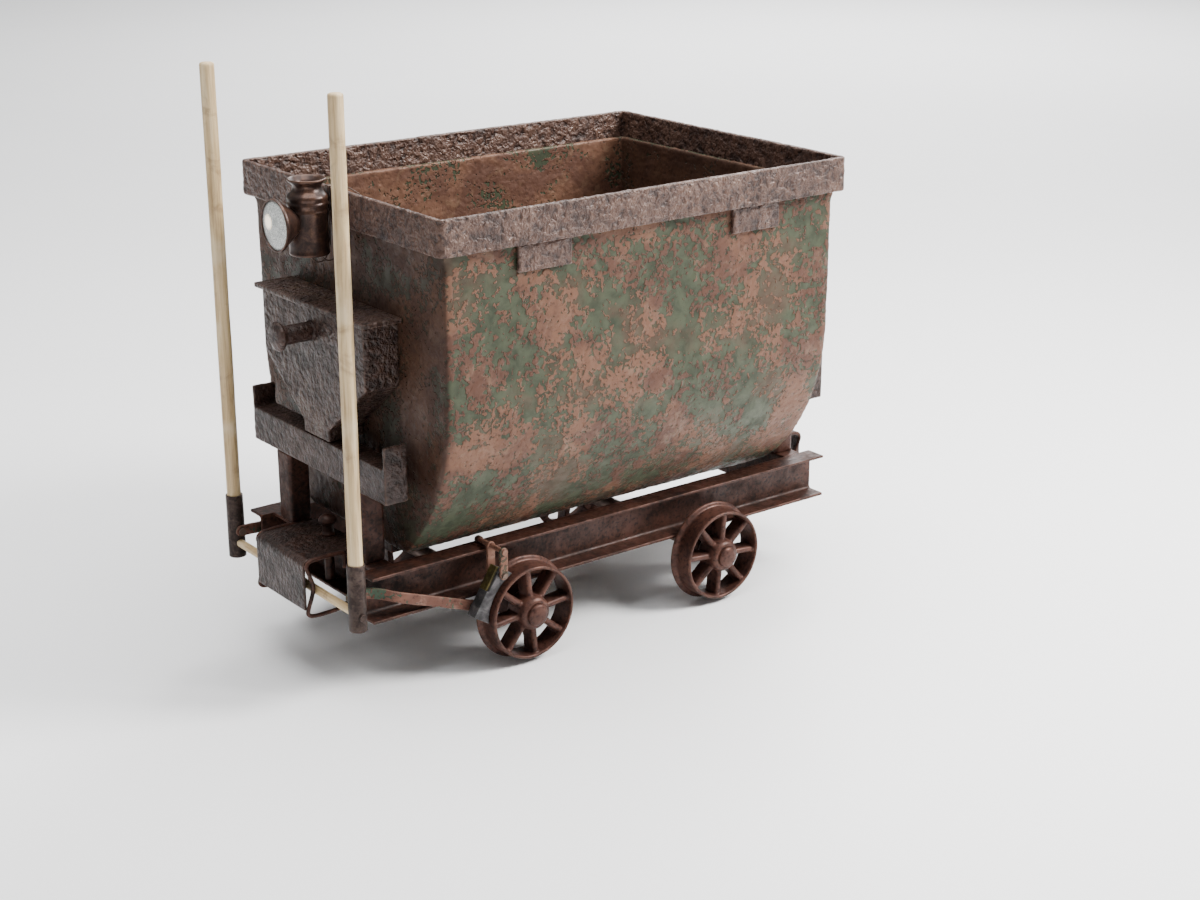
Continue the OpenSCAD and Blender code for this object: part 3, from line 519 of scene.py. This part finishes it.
def tube(path, radius, sides):
    """Vertices and faces of a round bar along a path, with rounded ends."""
    path = [Vector(q) for q in path]
    n = len(path)
    verts, faces = [], []
    normal = None
    for i, p in enumerate(path):
        d = (path[min(i + 1, n - 1)] - path[max(i - 1, 0)]).normalized()
        if normal is None:
            normal = d.orthogonal().normalized()
        normal = (normal - d * normal.dot(d)).normalized()
        side = d.cross(normal)
        for k in range(sides):
            a = 2 * math.pi * k / sides
            verts.append(p + radius * (math.cos(a) * normal + math.sin(a) * side))
    for i in range(n - 1):
        for k in range(sides):
            a, b = i * sides + k, i * sides + (k + 1) % sides
            faces.append((a, b, b + sides, a + sides))
    for i, sign in ((0, -1), (n - 1, 1)):
        d = (path[1] - path[0]) if i == 0 else (path[-1] - path[-2])
        verts.append(path[i] + sign * d.normalized() * radius * 0.5)
        tip = len(verts) - 1
        faces += [(i * sides + k, i * sides + (k + 1) % sides, tip) for k in range(sides)]
    return verts, faces


# ---- Tub ----

tub_lo, tub_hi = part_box("tub_sheet")
belly_y, belly_z, belly_r = 0.097, tub_hi.z - 0.351, 0.512
edge_band, edge_skin, sheet = 0.022, 0.006, 0.0095


def wall_depth(p):
    """How far points lie inside the tub's outline, which is straight above belly_z and
    an arc on each side below it."""
    y = np.abs(p[:, 1])
    arc = belly_r - np.hypot(y + belly_y, p[:, 2] - belly_z)
    side = np.where(p[:, 2] > belly_z, tub_hi.y - y, arc)
    return np.minimum(side, p[:, 2] - tub_lo.z)


def outer_edges(p):
    """The tub's edges where its ends meet its sides and belly, below the rim."""
    depth = wall_depth(p)
    end_depth = tub_hi.x - np.abs(p[:, 0])
    return ((end_depth < edge_band) & (depth < edge_band) & (p[:, 2] < tub_hi.z - 0.03)
            & ((depth < edge_skin) | (end_depth < edge_skin)))


tub = aged("tub_sheet", "tub_body", MAT["tub"], 0.0036, 9, 0.0016, 0.0018, 0.0007, 11,
           ("tub_end_front", "tub_end_rear"), outer_edges)
p, n = coordinates(tub.data), coordinates(tub.data, "normal")
inside = (wall_depth(p) > sheet) & (np.abs(p[:, 0]) < tub_hi.x - sheet)
tub.data.attributes["inner"].data.foreach_set("value", inside.astype(np.float32))
# Faces toward the ends: they hold less paint, and the material paints shade on them
facing = smooth_step(np.abs(n[:, 0]), 0.35, 0.8) * (np.abs(p[:, 0]) > tub_hi.x - 0.05)
tub.data.attributes["ends"].data.foreach_set("value", facing.astype(np.float32))
age(HERE,
    ("rim_band", "rim_angle", "rim", 0.0026, 4, 0.0018, 0.0014, 0.0, 17),
    ("side_tabs", "side_tab_plates", "rim", 0.0026, 3, 0.001, 0.0006, 0.0, 19))
age(ENDS,
    ("end_box_{}", "{}_box", "end", 0.003, 4, 0.0013, 0.001, 0.0003, 21),
    ("end_shelf_{}", "{}_shelf", "end", 0.003, 2, 0.0009, 0.0006, 0.0, 23),
    ("end_knob_{}", "{}_knob", "beam", 0.002, 3, 0.0007, 0.0003, 0.0, 25))

# ---- Underframe ----

age(SIDES, ("channel_{}", "{}_channel", "frame", 0.003, 2, 0.0005, 0.0006, 0.0, 31))
age(HERE,
    ("end_cross_members", "cross_channels", "frame", 0.003, 2, 0.0005, 0.0004, 0.0, 33),
    ("posts", "beam_posts", "frame", 0.0032, 2, 0.0005, 0.0006, 0.0, 37),
    ("axle_boxes", "axle_pedestals", "frame", 0.0028, 3, 0.0005, 0.0005, 0.0, 39))
age(ENDS,
    ("beam_{}", "{}_beam", "beam", 0.003, 3, 0.001, 0.0008, 0.0, 41),
    ("coupler_plate_{}", "{}_coupler", "beam", 0.0026, 3, 0.0007, 0.0008, 0.0, 43),
    ("coupling_pin_{}", "{}_coupling_pin", "frame", 0.0016, 3, 0.0003, 0.0002, 0.0, 45))
age(HERE, ("brake_brackets", "shaft_brackets", "frame", 0.0013, 2, 0.0002, 0.0001, 0.0, 47))

# The stirrups' bends at the front end, as (x, height), down from the beam's outer face
lo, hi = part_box("stirrups")
radius = 0.005
beam_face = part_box("beam_front")[0].x
bar_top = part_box("coupler_plate_front")[1].z - 0.002
verts, faces = [], []
bends = [(beam_face - 0.005, bar_top - 0.038), (beam_face - 0.005, bar_top - 0.012),
         (beam_face - 0.016, bar_top), (lo.x + 0.026, bar_top), (lo.x + 0.0075, bar_top - 0.011),
         (lo.x + 0.012, bar_top - 0.032), (lo.x + 0.0215, bar_top - 0.060),
         (lo.x + 0.019, bar_top - 0.085), (lo.x + 0.0075, bar_top - 0.117),
         (lo.x + 0.007, bar_top - 0.131), (lo.x + 0.024, bar_top - 0.138),
         (beam_face - 0.032, bar_top - 0.137), (beam_face - 0.010, bar_top - 0.130),
         (beam_face + 0.013, bar_top - 0.1225)]
for sx in (1, -1):
    for sy in (1, -1):
        v, f = tube(catmull([(sx * x, sy * (hi.y - radius), z) for x, z in bends], 5), radius, 14)
        faces += [tuple(i + len(verts) for i in face) for face in f]
        verts += v
stirrups = to_mesh("stirrup_bars", verts, faces)
weather(stirrups, 0.0002, 0.0002, 0.0, 3)
new_piece("stirrup_bars", stirrups, "stirrups", MAT["frame"], ["stirrups"])

# ---- Wheels ----

age(CORNERS,
    ("wheel_{}", "{}_wheel", "wheel", 0.0022, 5, 0.0001, 0.0001, 0.0, 51),
    ("hub_cap_{}", "{}_hub_cap", "wheel", 0.0014, 3, 0.0001, 0.0001, 0.0, 53))

# ---- Handle ----

rows = 180
for side in SIDES:
    lo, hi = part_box("pole_" + side)
    cx, cy, r = (lo.x + hi.x) / 2, (lo.y + hi.y) / 2, (hi.x - lo.x) / 2
    profile = [(0.0, lo.z), (r * 0.9, lo.z)]
    profile += [(r, lo.z + 0.003 + (hi.z - lo.z - 0.009) * k / rows) for k in range(rows + 1)]
    profile += [(r * 0.93, hi.z - 0.0022), (r * 0.7, hi.z - 0.0004), (0.0, hi.z)]
    mesh = to_mesh(side + "_pole", *lathe(profile, 48), Matrix.Translation((cx, cy, 0)))
    # Above its socket, the pole is a little uneven
    q = coordinates(mesh)
    wave = (layered(q * np.array([1, 1, 0.12]), 0.02, 2, 61 if side == "left" else 67) - 0.5)
    out = (q - np.array([cx, cy, 0])) * np.array([1, 1, 0])
    free = smooth_step(q[:, 2], lo.z + 0.07, lo.z + 0.09)
    length = np.maximum(np.linalg.norm(out, axis=1), 1e-6)
    q += out / length[:, None] * (wave * 0.0016 * free * (length > r * 0.5))[:, None]
    mesh.vertices.foreach_set("co", q.astype(np.float32).ravel())
    new_piece(side + "_pole", mesh, "pole_" + side, MAT["wood_z"], ["pole_" + side])
    age([side], ("socket_{}", "{}_socket", "socket", 0.0015, 3, 0.0002, 0.0002, 0.0, 63))

lo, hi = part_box("crossbar")
r = (hi.x - lo.x) / 2
profile = [(0, lo.y), (r * 0.9, lo.y)]
profile += [(r, lo.y + 0.002 + (hi.y - lo.y - 0.004) * k / 90) for k in range(91)]
profile += [(r * 0.9, hi.y), (0, hi.y)]
place = Matrix.Translation(((lo.x + hi.x) / 2, 0, (lo.z + hi.z) / 2)) @ Matrix.Rotation(
    -math.pi / 2, 4, "X")
mesh = to_mesh("handle_crossbar", *lathe(profile, 36), place)
new_piece("handle_crossbar", mesh, "crossbar", MAT["wood_y"], ["crossbar"])
age(HERE, ("crossbar_bolts", "handle_bolts", "socket", 0.0012, 4, 0.0001, 0.0001, 0.0, 65))

# ---- Brake ----

age(SIDES,
    ("brake_bar_{}", "{}_brake_bar", "brake", 0.0015, 3, 0.0003, 0.0003, 0.0, 71),
    ("brake_links_{}", "{}_brake_links", "brake", 0.0015, 3, 0.0003, 0.0002, 0.0, 73),
    ("brake_shoe_{}", "{}_brake_shoe", "shoe", 0.0018, 2, 0.0001, 0.0001, 0.0, 75),
    ("shoe_packing_{}", "{}_packing", "packing", 0.0014, 2, 0.0002, 0.0002, 0.0, 77))

# ---- Lamp ----

lo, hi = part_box("lamp_body")
cx, cy = (lo.x + hi.x) / 2, (lo.y + hi.y) / 2
R = (hi.x - lo.x) / 2 - 0.0009
z0, top = lo.z, hi.z
bead = z0 + 0.116

# The body's outline from the foot up to the flared top, and down inside it
outline = [(0, z0 + 0.002), (R - 0.012, z0 + 0.002), (R - 0.010, z0), (R - 0.003, z0),
           (R - 0.001, z0 + 0.001), (R, z0 + 0.003), (R, z0 + 0.006), (R - 0.001, z0 + 0.008)]
outline += [(R - 0.001 - 0.0006 * math.sin(math.pi * k / 12), z0 + 0.008 + 0.0875 * k / 12)
            for k in range(1, 13)]
outline += [(R - 0.0002, bead - 0.0185), (R + 0.0006, bead - 0.0165), (R - 0.0002, bead - 0.0145),
            (R - 0.0012, bead - 0.013), (R - 0.0012, bead - 0.006), (R - 0.0002, bead - 0.004),
            (R + 0.0006, bead - 0.002), (R + 0.0009, bead), (R + 0.0006, bead + 0.002),
            (R - 0.0004, bead + 0.004), (R - 0.0014, bead + 0.006), (R - 0.001, bead + 0.009),
            (R - 0.0002, bead + 0.013), (R - 0.0006, bead + 0.017), (R - 0.003, bead + 0.0205),
            (R - 0.007, bead + 0.0245), (R - 0.011, bead + 0.029), (R - 0.0135, bead + 0.0335),
            (R - 0.0142, bead + 0.0375), (R - 0.0135, bead + 0.041), (R - 0.011, bead + 0.0445),
            (R - 0.0075, bead + 0.048), (R - 0.004, bead + 0.051), (R - 0.0025, bead + 0.053),
            (R - 0.0026, top - 0.0015), (R - 0.0038, top), (R - 0.0055, top - 0.0006),
            (R - 0.0085, top - 0.004), (R - 0.0125, top - 0.0085), (R - 0.0165, top - 0.0135),
            (R - 0.0185, top - 0.019), (R - 0.0188, top - 0.024), (R - 0.022, top - 0.0265),
            (0, top - 0.0275)]
mesh = to_mesh("carbide_lamp", *lathe(outline, 128), Matrix.Translation((cx, cy, 0)))
weather(mesh, 0.00025, 0.0004, 0.0, 81)
new_piece("carbide_lamp", mesh, "lamp_body", MAT["lamp"], ["lamp_body"])

# The headlight faces forward; its outlines are turned about its axis
axis = Vector((-1, 0, 0))
side_axis = Vector((0, 0, 1)).cross(axis)
middle = Vector((cx, cy, z0 + 0.076))
to_axis = Matrix((
    (side_axis.x, 0, axis.x, middle.x), (side_axis.y, 0, axis.y, middle.y),
    (side_axis.z, 1, axis.z, middle.z), (0, 0, 0, 1)))
reach = 0.088
shell = [(0, 0.036), (0.027, 0.036), (0.0282, 0.0368), (0.0290, 0.0380), (0.0312, 0.0420),
         (0.0350, 0.0475), (0.0394, 0.0535), (0.0438, 0.0595), (0.0480, reach - 0.0230),
         (0.0518, reach - 0.0170), (0.0552, reach - 0.0115), (0.0568, reach - 0.0092),
         (0.0585, reach - 0.0088), (0.0597, reach - 0.0078), (0.060, reach - 0.0055),
         (0.060, reach - 0.0020), (0.0596, reach - 0.0005), (0.0585, reach),
         (0.0572, reach - 0.0003), (0.0562, reach - 0.0015), (0.0560, reach - 0.0035),
         (0.0545, reach - 0.0072), (0.0500, reach - 0.0145), (0.0415, 0.0600), (0.031, 0.0460),
         (0.0265, 0.0405), (0.012, 0.0385), (0, 0.0385)]
mesh = to_mesh("lamp_headlight", *lathe(shell, 128), to_axis)
new_piece("lamp_headlight", mesh, "lamp_reflector", MAT["lamp"], ["lamp_reflector"])

# Frosted glass, with a painted highlight at one spot, which also glows by emission
g = Graph("frosted_lens")
speck = g.noise(330, 5, 0.75, 0.4)
cloud = g.noise(30, 5, 0.6)
colour = g.ramp(speck, [(0.36, "#5f625f"), (0.47, "#a6a9a6"), (0.56, "#d9dad6")])
colour = g.mix(colour, "#7d807e", g.step(cloud, 0.5, 0.68, 0.0, 0.6))
spot = middle + axis * (reach - 0.002) + side_axis * -0.026 + Vector((0, 0, 0.004))
offset = g.nodes.new("ShaderNodeVectorMath")
offset.operation = "DISTANCE"
g.links.new(g.coords, offset.inputs[0])
offset.inputs[1].default_value = spot
painted_highlight = g.step(offset.outputs["Value"], 0.021, 0.010)
painted_highlight = g.op("MULTIPLY", painted_highlight, g.step(speck, 0.3, 0.6, 0.75, 1.0))
colour = g.mix(colour, "#fff4e2", painted_highlight)
lens_material = g.finish(colour, g.step(speck, 0.4, 0.6, 0.3, 0.5), speck, 0.0004, 0.35)
# The painted highlight also gives off warm light
g.shader.inputs["Emission Color"].default_value = rgb("#ffe9c8")
g.links.new(g.op("MULTIPLY", painted_highlight, 1.5), g.shader.inputs["Emission Strength"])
dome = [(0.0, -0.0058), (0.05, -0.0058), (0.0555, -0.0055), (0.0560, -0.0035), (0.050, -0.0025),
        (0.040, -0.0016), (0.028, -0.0009), (0.014, -0.0005), (0, -0.0004)]
dome = [(r, reach + z) for r, z in dome]
mesh = to_mesh("lamp_glass", *lathe(dome, 96), to_axis)
new_piece("lamp_glass", mesh, "lamp_lens", lens_material, ["lamp_lens"])

age(HERE, ("lamp_hook", "lamp_strap", "steel", 0.0011, 2, 0.0001, 0.0001, 0.0, 83))

# The wire bail's two hoops, below the lamp
for index, (dx, dy, half, drop) in enumerate(((0.024, 0.0, 0.020, 0.027),
                                              (0.044, -0.010, 0.019, 0.024))):
    turns = [math.pi * k / 14 for k in range(15)]
    points = [(cx + dx - half * math.cos(t), cy + dy + 0.004 * math.cos(t),
               z0 + 0.004 - drop * math.sin(t)) for t in turns]
    v, f = tube(catmull(points, 3), 0.0016, 10)
    name = f"lamp_wire_loop_{index + 1}"
    new_piece(name, to_mesh(name, v, f), "lamp_hook", MAT["steel"])

# ---- Materials for the CAD parts that stay ----

for node, key in (("axle_box_bolts", "steel"), ("axle_front", "steel"), ("axle_rear", "steel"),
                  ("axle_collars", "steel"), ("brake_shafts", "brake"), ("bar_pins", "steel"),
                  ("shoe_pins_left", "steel"), ("shoe_pins_right", "steel"),
                  ("lamp_burner", "packing")):
    nodes[node].data.materials.clear()
    nodes[node].data.materials.append(MAT[key])

# ---- Floor ----

g = Graph("studio_floor")
shade = g.ramp(g.noise(0.4, 3), [(0.3, "#f4f4f5"), (0.7, "#f7f7f8")])
floor_material = g.finish(shade, 0.55, g.noise(60, 3), 0.0001)
mesh = to_mesh("floor", [(-40, -40, 0), (40, -40, 0), (40, 40, 0), (-40, 40, 0)], [(0, 1, 2, 3)])
floor = bpy.data.objects.new("floor", mesh)
scene.collection.objects.link(floor)
mesh.materials.append(floor_material)
